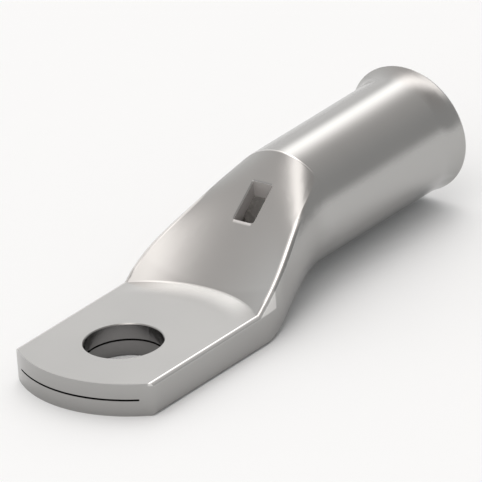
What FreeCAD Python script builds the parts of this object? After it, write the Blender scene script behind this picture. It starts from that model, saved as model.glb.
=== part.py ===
import FreeCAD, Part
import Sketcher
import os
import re

V = FreeCAD.Vector
doc = FreeCAD.newDocument("cable_lug")

# The lug is a copper tube: its front half is pressed flat into a palm with a bolt hole,
# its back half stays round and takes the cable. X runs along the barrel towards its mouth,
# Z up. The origin is the centre of the bolt hole on the palm's underside.
SIZES = [
    ("bolt_hole_diameter", 10.5, "clearance hole for a 10 mm bolt"),
    ("palm_width", 22.6, "over the palm's two straight sides"),
    ("palm_tip", 12.4, "from the bolt hole's centre to the tip"),
    ("tip_radius", 17.4, "curve of the front cut"),
    ("layer_thickness", 2.2, "each of the palm's two layers"),
    ("seam_gap", 0.2, "height of the closed seam between the layers"),
    ("side_wall", 1.65, "metal beside the seam, where the tube's wall turns back"),
    ("seam_corner", 0.09, "lower corners of the seam"),
    ("corner_radius", 0.6, "lower long edges of the palm"),
    ("ridge_radius", 0.6, "upper long edges of the palm and the slope"),
    ("bore_diameter", 12.0, "inside of the round barrel"),
    ("wall_thickness", 2.3, "wall of the round barrel"),
    ("barrel_lift", 0.85, "barrel's underside above the palm's underside"),
    ("crease_radius", 17.9, "curve of the crease, about the bolt hole's centre"),
    ("crease_turn", 67.2, "degrees each side that the press tool's lower edge reaches round"),
    ("press_lead", 1.7, "the full palm width ends this far before the crease"),
    ("pressed_height", 8.4, "side walls of the pressed outline before the slope is formed"),
    ("slope_run", 17.0, "from the crease to where the slope runs out on the tube's crown"),
    ("slope_turn", 59.6, "degrees each side that the press tool's upper edge wraps the tube"),
    ("slope_lift", 0.06, "how far the press tool stands off the tube at its sides"),
    ("slope_end", 0.2, "from the slope's end to the fully round barrel"),
    ("spread_place", 0.369, "first middle section, as a share of the change of section"),
    ("gather_place", 0.684, "second middle section, as a share of the change of section"),
    ("roof_spread", 0.684, "share of pressing left in the roof at the first middle section"),
    ("roof_gather", 0.26, "share of pressing left in the roof at the second middle section"),
    ("floor_spread", 0.62, "share of pressing left in the floor at the first middle section"),
    ("floor_gather", 0.20, "share of pressing left in the floor at the second middle section"),
    ("roof_angle", 40.0, "degrees from the top where roof and side meet on the tube"),
    ("side_angle", 136.0, "degrees from the top where side and corner meet"),
    ("floor_angle", 142.0, "degrees from the top where corner and floor meet"),
    ("barrel_length", 27.6, "from the slope's end to the mouth"),
    ("flare_length", 3.0, "last part of the barrel, which opens"),
    ("side_growth", 1.05, "widening of the mouth on each side"),
    ("top_growth", 0.95, "widening of the mouth at the top"),
    ("low_growth", 0.1, "widening of the mouth at the bottom"),
    ("early_growth", 0.2, "share of the widening reached half way along the flare"),
    ("lip_radius", 0.35, "outer edge of the mouth"),
    ("inner_lip", 0.3, "bevel of the mouth's inner edge"),
    ("sight_place", 8.4, "from the crease to the sight hole"),
    ("sight_length", 4.7, "sight hole along the lug, seen from above"),
    ("sight_width", 3.1, "sight hole across the slope"),
    ("sight_corner", 0.15, "corners of the sight hole"),
    ("sight_edge", 0.15, "bevel of the sight hole's outer edge"),
    ("hole_edge", 0.15, "broken edges of the bolt hole"),
]
RESULTS = [
    ("bore_radius", "bore_diameter / 2", "inside of the round barrel"),
    ("tube_radius", "bore_diameter / 2 + wall_thickness", "outside of the round barrel"),
    ("axis_height", "barrel_lift + tube_radius", "barrel's axis above the palm's underside"),
    ("palm_thickness", "2 * layer_thickness + seam_gap", "both layers and the seam"),
    ("palm_half", "palm_width / 2", "palm's side from the middle"),
    ("seam_half", "palm_half - side_wall", "seam's end from the middle"),
    ("press_start", "crease_radius - press_lead", "where the full palm width ends"),
    ("slope_top", "crease_radius + slope_run", "where the slope runs out on the crown"),
    ("round_start", "slope_top + slope_end", "where the barrel is fully round"),
    ("mouth_station", "slope_top + barrel_length", "plane of the mouth"),
    ("flare_start", "mouth_station - flare_length", "where the barrel begins to open"),
    ("sight_start", "crease_radius + sight_place", "lower end of the sight hole"),
    ("sight_end", "sight_start + sight_length", "upper end of the sight hole"),
]
sizes = doc.addObject("Spreadsheet::Sheet", "Sizes")
rows = SIZES + [(alias, "=" + formula, note) for alias, formula, note in RESULTS]
for row, (alias, amount, note) in enumerate(rows, start=1):
    sizes.set("A%d" % row, alias)
    sizes.set("C%d" % row, note)
    sizes.setAlias("B%d" % row, alias)
for row, (alias, amount, note) in enumerate(rows, start=1):
    sizes.set("B%d" % row, str(amount))
doc.recompute()


def bound(text):
    """The text as an expression on the sheet: every word with an underscore is a size."""
    return re.sub(r"\b([a-z]+(?:_[a-z]+)+)\b", r"Sizes.\1", text)


def value(text):
    return float(sizes.evalExpression(bound(text)))


def new_body(name, label):
    body = doc.addObject("PartDesign::Body", name)
    body.Label = label
    return body


def new_sketch(body, name, role, offset=None):
    sketch = body.newObject("Sketcher::SketchObject", name)
    plane = [item for item in body.Origin.OriginFeatures if item.Role == role][0]
    sketch.AttachmentSupport = [(plane, "")]
    sketch.MapMode = "FlatFace"
    if offset:
        sketch.setExpression(".AttachmentOffset.Base.z", bound(offset))
    return sketch


def dimension(sketch, kind, where, text):
    index = sketch.addConstraint(Sketcher.Constraint(kind, *where, value(text)))
    sketch.setExpression("Constraints[%d]" % index, bound(text))


def pin(sketch, geo, end, across, up):
    """Holds a point at (across, up) from the sketch's origin; "0" holds it on the axis."""
    if across == "0":
        sketch.addConstraint(Sketcher.Constraint("PointOnObject", geo, end, -2))
    else:
        dimension(sketch, "DistanceX", (-1, 1, geo, end), across)
    if up == "0":
        sketch.addConstraint(Sketcher.Constraint("PointOnObject", geo, end, -1))
    else:
        dimension(sketch, "DistanceY", (-1, 1, geo, end), up)


def outline(sketch, corners, bends):
    """A closed chain through the corners; an edge listed in bends is an arc through that point."""
    points = [V(value(x), value(y), 0) for x, y in corners]
    chain = []
    for i, start in enumerate(points):
        stop = points[(i + 1) % len(points)]
        if i in bends:
            middle = V(value(bends[i][0]), value(bends[i][1]), 0)
            geo = sketch.addGeometry(Part.Arc(start, middle, stop), False)
        else:
            geo = sketch.addGeometry(Part.LineSegment(start, stop), False)
        near = sketch.getPoint(geo, 1).distanceToPoint(start) < 1e-6
        chain.append((geo, 1, 2) if near else (geo, 2, 1))
    for i, (geo, first, last) in enumerate(chain):
        after = chain[(i + 1) % len(chain)]
        sketch.addConstraint(Sketcher.Constraint("Coincident", geo, last, after[0], after[1]))
        pin(sketch, geo, first, corners[i][0], corners[i][1])
    for i, (x, y) in bends.items():
        mark = sketch.addGeometry(Part.Point(V(value(x), value(y), 0)), True)
        pin(sketch, mark, 1, x, y)
        sketch.addConstraint(Sketcher.Constraint("PointOnObject", mark, 1, chain[i][0]))


def circle(sketch, diameter, across, up):
    centre = V(value(across), value(up), 0)
    geo = sketch.addGeometry(Part.Circle(centre, V(0, 0, 1), value(diameter) / 2), False)
    if across == "0" and up == "0":
        sketch.addConstraint(Sketcher.Constraint("Coincident", geo, 3, -1, 1))
    else:
        pin(sketch, geo, 3, across, up)
    dimension(sketch, "Diameter", (geo,), diameter)


def oval(sketch, half_width, half_height, up):
    """An upright ellipse on the sketch's vertical axis, wider than high."""
    centre = V(0, value(up), 0)
    side = centre + V(value(half_width), 0, 0)
    crown = centre + V(0, value(half_height), 0)
    geo = sketch.addGeometry(Part.Ellipse(side, crown, centre), False)
    sketch.exposeInternalGeometry(geo)
    pin(sketch, geo, 3, "0", up)
    sketch.addConstraint(Sketcher.Constraint("Horizontal", geo + 1))
    dimension(sketch, "Distance", (geo + 1,), "2 * (%s)" % half_width)
    dimension(sketch, "Distance", (geo + 2,), "2 * (%s)" % half_height)


def mix(on_tube, on_palm, share):
    """A coordinate between the tube (share 0) and the pressed outline (share 1)."""
    if share == "0" or on_tube == on_palm:
        return on_tube
    if share == "1":
        return on_palm
    return "(1 - (%s)) * (%s) + (%s) * (%s)" % (share, on_tube, share, on_palm)


def tube_section(body, name, station, roof_share, floor_share, form):
    """One cross section of the tube, from a circle (share 0) to the pressed outline (share 1).
    Six edges: two sides, two lower corners, floor and roof."""
    radius, half, corner = form["radius"], form["half"], form["corner"]
    floor, roof = form["floor"], form["roof"]
    low = "%s + %s" % (floor, corner)
    bend = "%s * (1 - sqrt(0.5))" % corner
    side_share = mix(roof_share, floor_share, "0.5")
    places = [
        (roof_share, "roof_angle", half, roof),
        (side_share, "(roof_angle + side_angle) / 2", half, "(%s + %s) / 2" % (roof, low)),
        (floor_share, "side_angle", half, low),
        (floor_share, "(side_angle + floor_angle) / 2", "%s - %s" % (half, bend), "%s + %s" % (floor, bend)),
        (floor_share, "floor_angle", "%s - %s" % (half, corner), floor),
    ]
    right = []
    for share, angle, across, up in places:
        tube_across = "%s * sin(%s)" % (radius, angle)
        tube_up = "axis_height + %s * cos(%s)" % (radius, angle)
        right.append((mix(tube_across, across, share), mix(tube_up, up, share)))
    left = [("-(%s)" % x, y) for x, y in right]
    sketch = new_sketch(body, name, "YZ_Plane", station)
    corners = [right[0], right[2], right[4], left[4], left[2], left[0]]
    bends = {1: right[3], 3: left[3]}
    if roof_share != "1":
        bends[0] = right[1]
        bends[4] = left[1]
        bends[2] = ("0", mix("axis_height - %s" % radius, floor, floor_share))
        bends[5] = ("0", mix("axis_height + %s" % radius, roof, roof_share))
    outline(sketch, corners, bends)
    return sketch


def add(body, kind, name, **settings):
    feature = body.newObject(kind, name)
    for key, setting in settings.items():
        setattr(feature, key, setting)
    return feature


def pressed_tube(name, label, form):
    """A tube pressed flat at its front: round barrel, change of section, palm and slope.
    The inside is plain, with straight lines and a flat slope; the outside bends through two more
    sections, and its crease and crown are arcs."""
    body = new_body(name, label)
    span = "(round_start - press_start)"
    stations = [("Pressed", "0", "1", "1"), ("Round", "1", "0", "0")]
    if not form["plain"]:
        stations[1:1] = [("Spread", "spread_place", "roof_spread", "floor_spread"),
                         ("Gather", "gather_place", "roof_gather", "floor_gather")]
    sections = [tube_section(body, name + part, "press_start + %s * %s" % (span, place), roof, floor, form)
                for part, place, roof, floor in stations]
    doc.recompute()
    add(body, "PartDesign::AdditiveLoft", name + "Change", Profile=sections[0], Sections=sections[1:],
        Ruled=form["plain"])
    front = tube_section(body, name + "Front", "press_start", "1", "1", form)
    palm = add(body, "PartDesign::Pad", name + "Palm", Profile=front, Reversed=True)
    palm.setExpression("Length", bound("press_start + palm_tip + 2"))
    doc.recompute()

    # The press tool's face is ruled between the crease on the palm and the crown.
    low = new_sketch(body, name + "Crease", "XY_Plane", form["top"])
    back = "crease_radius * cos(crease_turn)"
    reach = "crease_radius * sin(crease_turn)"
    ahead = "-(palm_tip + 10)"
    crease = {0: ("crease_radius", "0")}
    if form["plain"]:
        back = "crease_radius"
        crease = {}
    outline(low, [(back, "-%s" % reach), (back, reach), (ahead, reach), (ahead, "-%s" % reach)], crease)
    high = new_sketch(body, name + "Crown", "YZ_Plane", "slope_top")
    side = "(%s + slope_lift) * sin(slope_turn)" % form["radius"]
    edge = "axis_height + (%s + slope_lift) * cos(slope_turn)" % form["radius"]
    above = "axis_height + 50"
    crown = {0: ("0", "axis_height + %s" % form["radius"])}
    if form["plain"]:
        edge = "axis_height + %s" % form["radius"]
        crown = {}
    outline(high, [("-(%s)" % side, edge), (side, edge), (side, above), ("-(%s)" % side, above)], crown)
    doc.recompute()
    add(body, "PartDesign::SubtractiveLoft", name + "Slope", Profile=low, Sections=[high], Ruled=True)
    doc.recompute()
    return body


def flare_ring(body, name, station, radius, growth):
    """An oval across the barrel; growth is 0 on the round tube and 1 at the widest."""
    sketch = new_sketch(body, name, "YZ_Plane", station)
    oval(sketch, "%s + %s * side_growth" % (radius, growth),
         "%s + %s * (top_growth + low_growth) / 2" % (radius, growth),
         "axis_height + %s * (top_growth - low_growth) / 2" % growth)
    return sketch


def barrel(body, name, radius, rim, plain):
    """The round barrel and its mouth, which opens to the sides and the top up to the rim."""
    ring = new_sketch(body, name + "Ring", "YZ_Plane", "round_start")
    circle(ring, "2 * %s" % radius, "0", "axis_height")
    tube = add(body, "PartDesign::Pad", name + "Tube", Profile=ring)
    tube.setExpression("Length", bound("flare_start - round_start"))
    doc.recompute()
    start = new_sketch(body, name + "Start", "YZ_Plane", "flare_start")
    circle(start, "2 * %s" % radius, "0", "axis_height")
    rings = [flare_ring(body, name + "Rim", rim, radius, "1")]
    if not plain:
        rings.insert(0, flare_ring(body, name + "Middle", "(flare_start + %s) / 2" % rim, radius, "early_growth"))
    doc.recompute()
    add(body, "PartDesign::AdditiveLoft", name, Profile=start, Sections=rings, Ruled=plain)
    doc.recompute()


def rolled_lip(body, name, radius):
    """The outer edge of the mouth in three narrow bands, each a third of a quarter turn."""
    start = "mouth_station - lip_radius"
    rings = [flare_ring(body, name + "0", start, radius, "1")]
    for turn in ("30", "60", "90"):
        rings.append(flare_ring(body, name + turn, "%s + lip_radius * sin(%s)" % (start, turn),
                                "%s - lip_radius * (1 - cos(%s))" % (radius, turn), "1"))
    doc.recompute()
    add(body, "PartDesign::AdditiveLoft", name, Profile=rings[0], Sections=rings[1:], Ruled=True)
    doc.recompute()


def dress(body, kind, name, test, key, size):
    """Rounds or bevels every edge of the body that passes the test."""
    shape = body.Tip.Shape
    edges = ["Edge%d" % i for i, edge in enumerate(shape.Edges, start=1) if test(edge)]
    feature = add(body, kind, name, Base=(body.Tip, edges))
    feature.setExpression(key, bound(size))
    doc.recompute()


def fillet(body, name, test, radius):
    dress(body, "PartDesign::Fillet", name, test, "Radius", radius)


def chamfer(body, name, test, width):
    dress(body, "PartDesign::Chamfer", name, test, "Size", width)


outside = pressed_tube("Outside", "lug outside", {
    "radius": "tube_radius", "half": "palm_half", "corner": "corner_radius",
    "floor": "0", "roof": "pressed_height", "top": "palm_thickness", "plain": False})

tip = new_sketch(outside, "TipCut", "XY_Plane")
flank = "(palm_half + 2)"
back = "tip_radius - palm_tip - sqrt(tip_radius ^ 2 - %s ^ 2)" % flank
ahead = "-(palm_tip + 5)"
outline(tip, [(back, "-%s" % flank), (back, flank), (ahead, flank), (ahead, "-%s" % flank)],
        {0: ("-palm_tip", "0")})
add(outside, "PartDesign::Pocket", "Tip", Profile=tip, Reversed=True, Type="ThroughAll")
doc.recompute()


def on_ridge(edge):
    box = edge.BoundBox
    high = box.ZMin > value("palm_thickness") - 0.01
    beside = abs(edge.CenterOfMass.y) > value("palm_half") / 2
    return high and beside and box.XMax < value("slope_top") + 0.01


fillet(outside, "Ridges", on_ridge, "ridge_radius")
barrel(outside, "Bell", "tube_radius", "mouth_station - lip_radius", False)
rolled_lip(outside, "Lip", "tube_radius")

inside = pressed_tube("Inside", "lug inside", {
    "radius": "bore_radius", "half": "seam_half", "corner": "seam_corner",
    "floor": "layer_thickness", "roof": "pressed_height - layer_thickness",
    "top": "layer_thickness + seam_gap", "plain": True})
barrel(inside, "Throat", "bore_radius", "mouth_station", True)

hollow = outside.newObject("PartDesign::Boolean", "Hollow")
hollow.Type = "Cut"
hollow.setObjects([inside])
doc.recompute()


def at_inner_mouth(edge):
    box = edge.BoundBox
    return box.XMin > value("mouth_station") - 0.01 and box.YLength < value("2 * tube_radius")


chamfer(outside, "InnerLip", at_inner_mouth, "inner_lip")

before = outside.Shape.Volume
hole = new_sketch(outside, "BoltHoleOutline", "XY_Plane")
circle(hole, "bolt_hole_diameter", "0", "0")
add(outside, "PartDesign::Pocket", "BoltHole", Profile=hole, Reversed=True, Type="ThroughAll")
doc.recompute()
drilled = outside.Shape.Volume

# The sight hole goes through the slope into the cavity, square to the palm.
window = new_sketch(outside, "SightOutline", "XY_Plane", "axis_height * 0.65")
reach = "sight_width / 2"
outline(window, [("sight_start", "-(%s)" % reach), ("sight_end", "-(%s)" % reach),
                 ("sight_end", reach), ("sight_start", reach)], {})
add(outside, "PartDesign::Pocket", "SightHole", Profile=window, Reversed=True, Type="ThroughAll")
doc.recompute()
pierced = outside.Shape.Volume


def in_window(edge):
    box = edge.BoundBox
    inside_x = box.XMin > value("sight_start") - 0.02 and box.XMax < value("sight_end") + 0.02
    inside_y = max(-box.YMin, box.YMax) < value("sight_width") / 2 + 0.02
    return inside_x and inside_y and box.ZMin > value("axis_height") * 0.65


def upright(edge):
    box = edge.BoundBox
    return in_window(edge) and box.XLength < 0.01 and box.YLength < 0.01


fillet(outside, "SightCorners", upright, "sight_corner")


def on_slope(edge):
    """Edges of the sight hole that lie on the outer face of the slope."""
    middle = edge.CenterOfMass
    rise = value("axis_height + tube_radius - palm_thickness") / value("slope_run")
    surface = value("palm_thickness") + rise * (middle.x - value("crease_radius"))
    return in_window(edge) and abs(middle.z - surface) < 0.6


chamfer(outside, "SightEdge", on_slope, "sight_edge")


def round_hole(edge):
    box = edge.BoundBox
    flat = box.ZLength < 0.01
    size = abs(box.XLength - value("bolt_hole_diameter")) < 0.01
    outer = box.ZMin < 0.01 or box.ZMax > value("palm_thickness") - 0.01
    return flat and size and outer


chamfer(outside, "BoltHoleEdge", round_hole, "hole_edge")

lug = outside.Shape
if not before > drilled > pierced > lug.Volume * 0.99:
    raise ValueError("a pocket removed nothing")
for item in doc.Objects:
    if "Invalid" in item.State or "Error" in item.State:
        raise ValueError("%s is %s" % (item.Name, item.State))
if lug.isNull() or not lug.isValid() or len(lug.Solids) != 1:
    raise ValueError("the lug is not one valid solid")
os.makedirs("parts", exist_ok=True)
lug.exportStep("parts/lug.step")
print("volume", lug.Volume, "length", lug.BoundBox.XLength, "width", lug.BoundBox.YLength, "height", lug.BoundBox.ZLength)
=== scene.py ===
import math

import bpy
from mathutils import Matrix, Vector

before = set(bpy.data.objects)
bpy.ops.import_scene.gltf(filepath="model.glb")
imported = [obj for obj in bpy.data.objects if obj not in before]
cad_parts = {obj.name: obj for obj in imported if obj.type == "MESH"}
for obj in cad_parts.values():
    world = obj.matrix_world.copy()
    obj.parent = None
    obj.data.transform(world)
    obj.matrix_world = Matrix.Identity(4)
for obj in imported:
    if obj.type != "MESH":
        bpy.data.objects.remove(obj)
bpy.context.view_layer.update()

# The lug's shape is all in the CAD model. This script gives it a tin finish, a floor, a room of
# soft light and a camera. The finish goes by places on the lug, so it stays put in every view. It
# also paints light: some bright lines are painted highlights, only a lighter colour there with no
# shape of their own, and some darker places are painted shade.

# Places on the lug in metres, from the middle of the bolt hole on the palm's underside: x along
# the barrel towards its mouth, y across the palm, z up. They are the solid's own sizes, apart
# from PALM_TOP and SLOPE_RISE, which are a little off its 0.0046 and 0.756.
PALM_TOP = 0.00457
HOLE_RADIUS = 0.00525
SEAM_MIDDLE = 0.0023
CREASE = 0.0179
SLOPE_RISE = 0.7735
CROWN = 0.0349
AXIS_HEIGHT = 0.00915
BORE_RADIUS = 0.006
WINDOW_START = 0.0263
WINDOW_END = 0.0310
WINDOW_HALF = 0.00155

# Lines that only the finish uses. The palm's rounded long edges get a painted highlight from
# PALM_FLAT_HALF outwards. The ridge line runs from RIDGE_WIDE at the palm to RIDGE_NARROW near the
# crown, and RIDGE_RISE is how steeply the lower limit of its painted highlight climbs.
PALM_FLAT_HALF = 0.0107
RIDGE_RUN = (0.016, 0.031)
RIDGE_WIDE = 0.01085
RIDGE_NARROW = 0.00755
RIDGE_RISE = 0.56

# Every pair from here to the colours is a soft step: where it starts and where it ends, in metres.
# The closed seam: half the height of its line, half its width, and its end towards the slope.
SEAM_LINE = (0.00011, 0.00016)
SEAM_SIDES = (0.00965, 0.00975)
SEAM_BACK = (0.0162, 0.0163)

# The bolt hole's wall and lower bevel, which get painted shade, by the distance from its middle.
HOLE_WALL = (HOLE_RADIUS + 0.00001, HOLE_RADIUS + 0.00005)
HOLE_BEVEL = (HOLE_RADIUS + 0.00015, HOLE_RADIUS + 0.0002)
HOLE_BEVEL_TOP = (0.001, 0.0011)

# The zone beside the crease that gets a painted highlight, by the distance from the bolt hole's
# middle, and the palm's face.
CREASE_ZONE = (0.0140, CREASE)
CREASE_LIMIT = (CREASE + 0.0003, CREASE + 0.0005)
CREASE_ASIDE = (0.0040, PALM_FLAT_HALF)
PALM_FACE_FROM = (PALM_TOP - 0.0002, PALM_TOP - 0.0001)
PALM_FACE_TO = (PALM_TOP + 0.0001, PALM_TOP + 0.0002)

# The inside of the tube: the pressed cavity and the round bore, whose matt, near-white finish is
# partly painted light. UNDER_SLOPE is how far under the slope's face it starts, and
# INSIDE_AT_MOUTH is what is left of the inner finish at the mouth.
CAVITY_SIDES = (0.0034, 0.0036)
CAVITY_FLOOR = (0.0020, 0.0021)
CAVITY_BACK = (CROWN, CROWN + 0.0003)
BORE_WALL = (BORE_RADIUS + 0.0002, BORE_RADIUS + 0.0004)
UNDER_SLOPE = (0.0014, 0.0018)
INSIDE_START = (0.0190, 0.0205)
INSIDE_FADE = (0.0370, 0.0540)
INSIDE_AT_MOUTH = 0.35

# The sight hole's walls.
WINDOW_SIDES = (WINDOW_HALF, WINDOW_HALF + 0.00004)
WINDOW_LOW_END = (WINDOW_START - 0.00004, WINDOW_START)
WINDOW_HIGH_END = (WINDOW_END, WINDOW_END + 0.00004)
WINDOW_HEIGHT = (0.006, 0.0062)

# Painted shade: the neck's side walls and all that is low down, but not the slope, are darker.
# NECK_WALL and SLOPE_SIDES go by how far inside the ridge line a point lies.
NECK_WALL = (-0.0006, -0.0002)
NECK_START = (0.0180, 0.0210)
NECK_END = (0.0300, 0.0345)
NECK_STRENGTH = 0.9
SLOPE_SIDES = (-0.0001, 0.0003)
SLOPE_START = (CREASE - 0.0004, CREASE + 0.0006)
SLOPE_HEIGHT = (0.0040, 0.0045)
LOW_METAL = (0.0, 0.0095)

# Painted highlights: the ridges, the crown, the sight hole's low lip and the palm's long edges.
RIDGE_INNER = (0.00010, 0.00050)
RIDGE_OUTER = (-0.00035, -0.00015)
RIDGE_UNDER = (-0.0044, -0.0039)
RIDGE_END = (0.0270, 0.0295)
RIDGE_HEIGHT = (0.0055, 0.0060)
CROWN_LINE = (0.00003, 0.00016)
CROWN_HEIGHT = (0.0152, 0.0164)
CROWN_STRENGTH = 0.75
LIP_WIDTH = (0.00025, 0.00055)
LIP_START = (0.0, 0.00005)
LIP_SIDES = (WINDOW_HALF - 0.0002, WINDOW_HALF)
LIP_HEIGHT = (0.0100, 0.0102)
PALM_EDGE = (PALM_FLAT_HALF - 0.0001, PALM_FLAT_HALF + 0.0001)
PALM_EDGE_HEIGHT = (0.0041, 0.0044)
PALM_EDGE_END = (CREASE, CREASE + 0.0004)
PALM_EDGE_STRENGTH = 0.7

# The plating's colours, as linear values.
TIN = (0.41, 0.406, 0.398, 1.0)
TIN_PALE_BLOTCH = (0.44, 0.436, 0.428, 1.0)
# Painted shade: darker low down and on the neck's side walls.
TIN_PAINTED_SHADE = (0.357, 0.352, 0.345, 1.0)
# Painted highlight on the palm beside the crease.
TIN_PAINTED_CREASE_HIGHLIGHT = (0.76, 0.753, 0.740, 1.0)
# Painted highlights on the ridges, crown, sight hole's lip and palm's edges.
TIN_PAINTED_HIGHLIGHT = (0.80, 0.788, 0.775, 1.0)
# Painted shade on the bolt hole's wall and lower bevel.
TIN_PAINTED_HOLE_SHADE = (0.215, 0.211, 0.208, 1.0)
# Matt inner tin, made near-white as painted light in the dark cavity.
TIN_INSIDE_PAINTED_LIGHT = (0.92, 0.90, 0.88, 1.0)
TIN_PUNCHED_WINDOW = (0.41, 0.39, 0.378, 1.0)
SEAM_SHADOW = (0.015, 0.015, 0.014, 1.0)

# Soft blotches in the plating, how rough it is, and its fine, shallow grain.
BLOTCH_SCALE = 90.0
BLOTCH_DETAIL = 3.0
BLOTCH_RANGE = (0.3, 0.7)
ROUGHNESS_LEAST = 0.17
ROUGHNESS_MOST = 0.21
ROUGHNESS_INSIDE = 0.5
METALLIC_INSIDE = 0.1
GRAIN_SCALE = 2600.0
GRAIN_DETAIL = 2.0
GRAIN_STRENGTH = 0.05
GRAIN_HEIGHT = 0.00002

WHITE_FLOOR = (0.93, 0.945, 0.955, 1.0)
FLOOR_SIZE = 12.0

# The light of the room by direction. Heights go from 0 at the horizon to 1 straight overhead.
# The walls fade to FLOOR_GLOW near the horizon. The band runs BAND_HEADING degrees off the
# barrel's own direction, and BAND_OFFSET puts it towards the far side.
FLOOR_GLOW = 0.86
FLOOR_GLOW_HEIGHT = (0.0, 0.2)
WALL_LEVEL = 0.575
WALL_TOWARDS_MOUTH = 0.17
WALL_TOWARDS_FAR_SIDE = 0.37
WALL_LEAST = 0.48
BAND_HEADING = 25.8
BAND_OFFSET = 0.125
BAND_WIDTH = 0.305
BAND_STRENGTH = 1.65
BAND_HEIGHT = (0.05, 0.35)
WALL_TINT = (1.0, 0.995, 0.985, 1.0)
OVERHEAD_TINT = (1.0, 0.962, 0.938, 1.0)
OVERHEAD_HEIGHT = (0.4, 0.95)

# The camera's angles are in degrees, its lens and sensor in millimetres, and the rest in metres.
CAMERA_HEADING = 39.436
CAMERA_DROP = 24.784
CAMERA_ROLL = 4.717
CAMERA_LENS = 1211.7
CAMERA_SENSOR = 36.0
CAMERA_AWAY = 2.1
AIM_TO_THE_RIGHT = 0.015201
AIM_UPWARDS = 0.012958


def math_node(tree, operation, first, second=None):
    """One step of arithmetic, on numbers or on what other nodes give."""
    node = tree.nodes.new("ShaderNodeMath")
    node.operation = operation
    for socket, item in zip(node.inputs, (first, second)):
        if isinstance(item, float):
            socket.default_value = item
        elif item is not None:
            tree.links.new(item, socket)
    return node.outputs[0]


def ramp(tree, item, span, at_start, at_end):
    """A smooth step from at_start to at_end as the item crosses the span."""
    node = tree.nodes.new("ShaderNodeMapRange")
    node.interpolation_type = "SMOOTHSTEP"
    node.inputs["From Min"].default_value = span[0]
    node.inputs["From Max"].default_value = span[1]
    node.inputs["To Min"].default_value = at_start
    node.inputs["To Max"].default_value = at_end
    tree.links.new(item, node.inputs["Value"])
    return node.outputs["Result"]


def fade_in(tree, item, span, strength=1.0):
    """Nothing before the span, and the full strength past it."""
    return ramp(tree, item, span, 0.0, strength)


def fade_out(tree, item, span, strength=1.0):
    """The full strength before the span, and nothing past it."""
    return ramp(tree, item, span, strength, 0.0)


def join(tree, operation, masks):
    """The masks joined one after another by the same operation."""
    result = masks[0]
    for mask in masks[1:]:
        result = math_node(tree, operation, result, mask)
    return result


def every(tree, *masks):
    """Where all the masks hold."""
    return join(tree, "MULTIPLY", masks)


def either(tree, *masks):
    """Where any of the masks holds."""
    return join(tree, "MAXIMUM", masks)


def apart(tree, item, place):
    """How far the item is from a place, to either side of it."""
    return math_node(tree, "ABSOLUTE", math_node(tree, "SUBTRACT", item, place))


def distance(tree, first, second):
    """The distance from an axis, from the two offsets across it."""
    squares = [math_node(tree, "MULTIPLY", item, item) for item in (first, second)]
    return math_node(tree, "SQRT", math_node(tree, "ADD", *squares))


def noise(tree, place, scale, detail):
    texture = tree.nodes.new("ShaderNodeTexNoise")
    texture.inputs["Scale"].default_value = scale
    texture.inputs["Detail"].default_value = detail
    tree.links.new(place, texture.inputs["Vector"])
    return texture.outputs["Fac"]


def blend(tree, kind, mask, first, second):
    """The first value or colour where the mask is 0, the second where it is 1."""
    node = tree.nodes.new("ShaderNodeMix")
    node.data_type = kind
    tree.links.new(mask, node.inputs["Factor"])
    socket_type = "VALUE" if kind == "FLOAT" else kind
    sockets = [s for s in node.inputs if s.name in ("A", "B") and s.type == socket_type]
    for socket, item in zip(sockets, (first, second)):
        if isinstance(item, (float, tuple)):
            socket.default_value = item
        else:
            tree.links.new(item, socket)
    return [s for s in node.outputs if s.type == socket_type][0]


def new_material(name):
    """A fresh material and its shader."""
    material = bpy.data.materials.new(name)
    material.use_nodes = True
    return material, material.node_tree.nodes["Principled BSDF"]


def seam_mask(tree, x, y, z):
    """The dark line of the closed seam, on the front cut and in the bolt hole."""
    off = apart(tree, z, SEAM_MIDDLE)
    aside = math_node(tree, "ABSOLUTE", y)
    return every(tree,
                 fade_out(tree, off, SEAM_LINE),
                 fade_out(tree, aside, SEAM_SIDES),
                 fade_out(tree, x, SEAM_BACK))


def hole_shade_mask(tree, x, y, z):
    """Painted shade on the bolt hole's punched wall and its lower bevel."""
    reach = distance(tree, x, y)
    wall = fade_out(tree, reach, HOLE_WALL)
    bevel = every(tree, fade_out(tree, reach, HOLE_BEVEL), fade_out(tree, z, HOLE_BEVEL_TOP))
    return either(tree, wall, bevel)


def crease_highlight_mask(tree, x, y, z):
    """A painted highlight on the palm's top beside the crease, brightest in the middle and close
    to the crease.
    """
    reach = distance(tree, x, y)
    aside = math_node(tree, "ABSOLUTE", y)
    return every(tree,
                 fade_in(tree, reach, CREASE_ZONE),
                 fade_out(tree, reach, CREASE_LIMIT),
                 fade_out(tree, aside, CREASE_ASIDE),
                 fade_in(tree, z, PALM_FACE_FROM),
                 fade_out(tree, z, PALM_FACE_TO))


def bore_mask(tree, x, y, z):
    """The inside of the tube: the round bore and the pressed cavity that narrows behind the slope.
    Its rougher, less metallic finish is real; its near-white colour is painted light in the
    cavity.
    It stays under the slope's outer face and grows weaker towards the mouth."""
    aside = math_node(tree, "ABSOLUTE", y)
    pressed = every(tree,
                    fade_out(tree, aside, CAVITY_SIDES),
                    fade_in(tree, z, CAVITY_FLOOR),
                    fade_out(tree, x, CAVITY_BACK))
    up = math_node(tree, "SUBTRACT", z, AXIS_HEIGHT)
    reach = distance(tree, up, y)
    risen = math_node(tree, "MULTIPLY", x, SLOPE_RISE)
    face = math_node(tree, "ADD", risen, PALM_TOP - CREASE * SLOPE_RISE)
    depth = math_node(tree, "SUBTRACT", face, z)
    drawn = fade_out(tree, reach, BORE_WALL)
    return every(tree,
                 either(tree, drawn, pressed),
                 fade_in(tree, depth, UNDER_SLOPE),
                 fade_in(tree, x, INSIDE_START),
                 ramp(tree, x, INSIDE_FADE, 1.0, INSIDE_AT_MOUTH))


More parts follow.
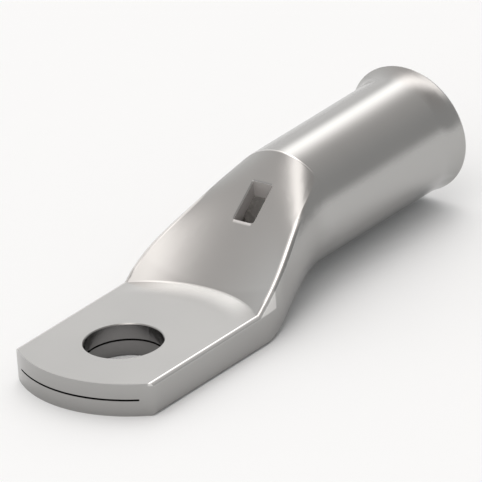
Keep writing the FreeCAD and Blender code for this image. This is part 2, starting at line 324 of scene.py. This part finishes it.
def window_mask(tree, x, y, z):
    """The punched walls of the sight hole."""
    aside = math_node(tree, "ABSOLUTE", y)
    return every(tree,
                 fade_out(tree, aside, WINDOW_SIDES),
                 fade_in(tree, x, WINDOW_LOW_END),
                 fade_out(tree, x, WINDOW_HIGH_END),
                 fade_in(tree, z, WINDOW_HEIGHT))


def ridge_inset(tree, x, y):
    """How far inside the ridge line a point lies; below 0 it is on the side wall."""
    edge = ramp(tree, x, RIDGE_RUN, RIDGE_WIDE, RIDGE_NARROW)
    return math_node(tree, "SUBTRACT", edge, math_node(tree, "ABSOLUTE", y))


def painted_shade_mask(tree, x, y, z):
    """Painted shade: the neck's side walls, and the lower surfaces towards the underside, without
    the slope, are darker.
    """
    inset = ridge_inset(tree, x, y)
    neck = every(tree,
                 fade_out(tree, inset, NECK_WALL, NECK_STRENGTH),
                 fade_in(tree, x, NECK_START),
                 fade_out(tree, x, NECK_END))
    slope = every(tree,
                  fade_in(tree, inset, SLOPE_SIDES),
                  fade_in(tree, x, SLOPE_START),
                  fade_in(tree, z, SLOPE_HEIGHT))
    elsewhere = math_node(tree, "SUBTRACT", 1.0, slope)
    low = every(tree, fade_out(tree, z, LOW_METAL), elsewhere)
    return either(tree, neck, low)


def painted_highlight_mask(tree, x, y, z):
    """Painted highlights along the ridges, the crown, the sight hole's low lip and the palm's long
    edges.
    """
    aside = math_node(tree, "ABSOLUTE", y)
    inset = ridge_inset(tree, x, y)
    above = math_node(tree, "SUBTRACT", z, math_node(tree, "MULTIPLY", x, RIDGE_RISE))
    ridge = every(tree,
                  fade_out(tree, inset, RIDGE_INNER),
                  fade_in(tree, inset, RIDGE_OUTER),
                  fade_in(tree, above, RIDGE_UNDER),
                  fade_out(tree, x, RIDGE_END),
                  fade_in(tree, z, RIDGE_HEIGHT))
    crown = every(tree,
                  fade_out(tree, apart(tree, x, CROWN), CROWN_LINE, CROWN_STRENGTH),
                  fade_in(tree, z, CROWN_HEIGHT))
    before_window = math_node(tree, "SUBTRACT", WINDOW_START, x)
    lip = every(tree,
                fade_out(tree, before_window, LIP_WIDTH),
                fade_in(tree, before_window, LIP_START),
                fade_out(tree, aside, LIP_SIDES),
                fade_in(tree, z, LIP_HEIGHT))
    palm = every(tree,
                 fade_in(tree, aside, PALM_EDGE, PALM_EDGE_STRENGTH),
                 fade_in(tree, z, PALM_EDGE_HEIGHT),
                 fade_out(tree, x, PALM_EDGE_END))
    return either(tree, ridge, crown, lip, palm)


def tinned_copper():
    """Matt tin plating over drawn copper tube: satin outside, rougher and less metallic in the
    bore and on the sight hole's walls, with painted highlights, painted shade and painted light in
    its colour."""
    material, shader = new_material("tinned_copper")
    tree = material.node_tree
    coordinates = tree.nodes.new("ShaderNodeTexCoord")
    place = coordinates.outputs["Object"]
    split = tree.nodes.new("ShaderNodeSeparateXYZ")
    tree.links.new(place, split.inputs[0])
    x, y, z = split.outputs

    blotch = noise(tree, place, BLOTCH_SCALE, BLOTCH_DETAIL)
    bore = bore_mask(tree, x, y, z)
    window = window_mask(tree, x, y, z)
    inside = either(tree, bore, window)

    colour = blend(tree, "RGBA", blotch, TIN, TIN_PALE_BLOTCH)
    # Painted shade, painted highlights and painted light are laid over the plating's colour here.
    layers = (
        (painted_shade_mask(tree, x, y, z), TIN_PAINTED_SHADE),
        (crease_highlight_mask(tree, x, y, z), TIN_PAINTED_CREASE_HIGHLIGHT),
        (painted_highlight_mask(tree, x, y, z), TIN_PAINTED_HIGHLIGHT),
        (hole_shade_mask(tree, x, y, z), TIN_PAINTED_HOLE_SHADE),
        (bore, TIN_INSIDE_PAINTED_LIGHT),
        (window, TIN_PUNCHED_WINDOW),
        (seam_mask(tree, x, y, z), SEAM_SHADOW),
    )
    for mask, layer_colour in layers:
        colour = blend(tree, "RGBA", mask, colour, layer_colour)
    tree.links.new(colour, shader.inputs["Base Color"])

    satin = ramp(tree, blotch, BLOTCH_RANGE, ROUGHNESS_LEAST, ROUGHNESS_MOST)
    roughness = blend(tree, "FLOAT", inside, satin, ROUGHNESS_INSIDE)
    tree.links.new(roughness, shader.inputs["Roughness"])
    metallic = ramp(tree, inside, (0.0, 1.0), 1.0, METALLIC_INSIDE)
    tree.links.new(metallic, shader.inputs["Metallic"])

    grain = tree.nodes.new("ShaderNodeBump")
    grain.inputs["Strength"].default_value = GRAIN_STRENGTH
    grain.inputs["Distance"].default_value = GRAIN_HEIGHT
    tree.links.new(noise(tree, place, GRAIN_SCALE, GRAIN_DETAIL), grain.inputs["Height"])
    tree.links.new(grain.outputs["Normal"], shader.inputs["Normal"])
    return material


def floor_material():
    """A pale matt floor with no shine."""
    material, shader = new_material("white_floor")
    shader.inputs["Base Color"].default_value = WHITE_FLOOR
    shader.inputs["Roughness"].default_value = 1.0
    shader.inputs["Specular IOR Level"].default_value = 0.0
    return material


def lay_floor():
    """A wide floor in the plane of the palm's underside."""
    bpy.ops.object.select_all(action="DESELECT")
    bpy.ops.mesh.primitive_plane_add(size=FLOOR_SIZE, location=(0, 0, 0))
    floor = bpy.context.object
    floor.name = "floor"
    floor.data.materials.append(floor_material())


def studio_world():
    """A pale room, lighter on the far side and towards the mouth, with a long soft band of light
    overhead, at a slant to the barrel."""
    world = bpy.data.worlds.new("studio")
    bpy.context.scene.world = world
    world.use_nodes = True
    tree = world.node_tree
    back = tree.nodes["Background"]
    place = tree.nodes.new("ShaderNodeTexCoord")
    split = tree.nodes.new("ShaderNodeSeparateXYZ")
    tree.links.new(place.outputs["Generated"], split.inputs[0])
    height = split.outputs["Z"]

    def towards(x, y):
        dot = tree.nodes.new("ShaderNodeVectorMath")
        dot.operation = "DOT_PRODUCT"
        dot.inputs[1].default_value = (x, y, 0.0)
        tree.links.new(place.outputs["Generated"], dot.inputs[0])
        return dot.outputs["Value"]

    heading = math.radians(BAND_HEADING)
    up = math_node(tree, "MAXIMUM", height, BAND_HEIGHT[0])
    across = math_node(tree, "DIVIDE", towards(-math.sin(heading), math.cos(heading)), up)
    off = math_node(tree, "SUBTRACT", across, BAND_OFFSET)
    squared = math_node(tree, "MULTIPLY", off, off)
    fall = math_node(tree, "MULTIPLY", squared, -1 / BAND_WIDTH ** 2)
    soft = math_node(tree, "EXPONENT", fall)
    band = math_node(tree, "MULTIPLY", soft, fade_in(tree, height, BAND_HEIGHT, BAND_STRENGTH))

    lean = towards(WALL_TOWARDS_MOUTH, WALL_TOWARDS_FAR_SIDE)
    walls = math_node(tree, "ADD", lean, WALL_LEVEL)
    walls = math_node(tree, "MAXIMUM", walls, WALL_LEAST)
    low = fade_out(tree, height, FLOOR_GLOW_HEIGHT)
    walls = blend(tree, "FLOAT", low, walls, FLOOR_GLOW)
    tree.links.new(math_node(tree, "ADD", band, walls), back.inputs["Strength"])

    overhead = fade_in(tree, height, OVERHEAD_HEIGHT)
    tint = blend(tree, "RGBA", overhead, WALL_TINT, OVERHEAD_TINT)
    tree.links.new(tint, back.inputs["Color"])


def place_camera():
    """The camera at the photograph's angle, aimed up and to the right of the bolt hole."""
    heading = math.radians(CAMERA_HEADING)
    drop = math.radians(CAMERA_DROP)
    roll = math.radians(CAMERA_ROLL)
    ahead = math.cos(drop)
    forward = Vector((ahead * math.cos(heading), ahead * math.sin(heading), -math.sin(drop)))
    level = Vector((math.sin(heading), -math.cos(heading), 0.0))
    under = forward.cross(level)
    right = level * math.cos(roll) + under * math.sin(roll)
    down = under * math.cos(roll) - level * math.sin(roll)
    data = bpy.data.cameras.new("camera")
    data.sensor_width = CAMERA_SENSOR
    data.lens = CAMERA_LENS
    camera = bpy.data.objects.new("camera", data)
    bpy.context.scene.collection.objects.link(camera)
    aim = Vector((0.0, 0.0, PALM_TOP)) + right * AIM_TO_THE_RIGHT - down * AIM_UPWARDS
    turn = Matrix((right, -down, -forward)).transposed()
    camera.matrix_world = Matrix.Translation(aim - forward * CAMERA_AWAY) @ turn.to_4x4()
    bpy.context.scene.camera = camera


bpy.context.scene.view_settings.view_transform = "Standard"
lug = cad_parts["lug"]
plating = tinned_copper()
for slot in lug.material_slots:
    slot.material = plating
lay_floor()
studio_world()
place_camera()
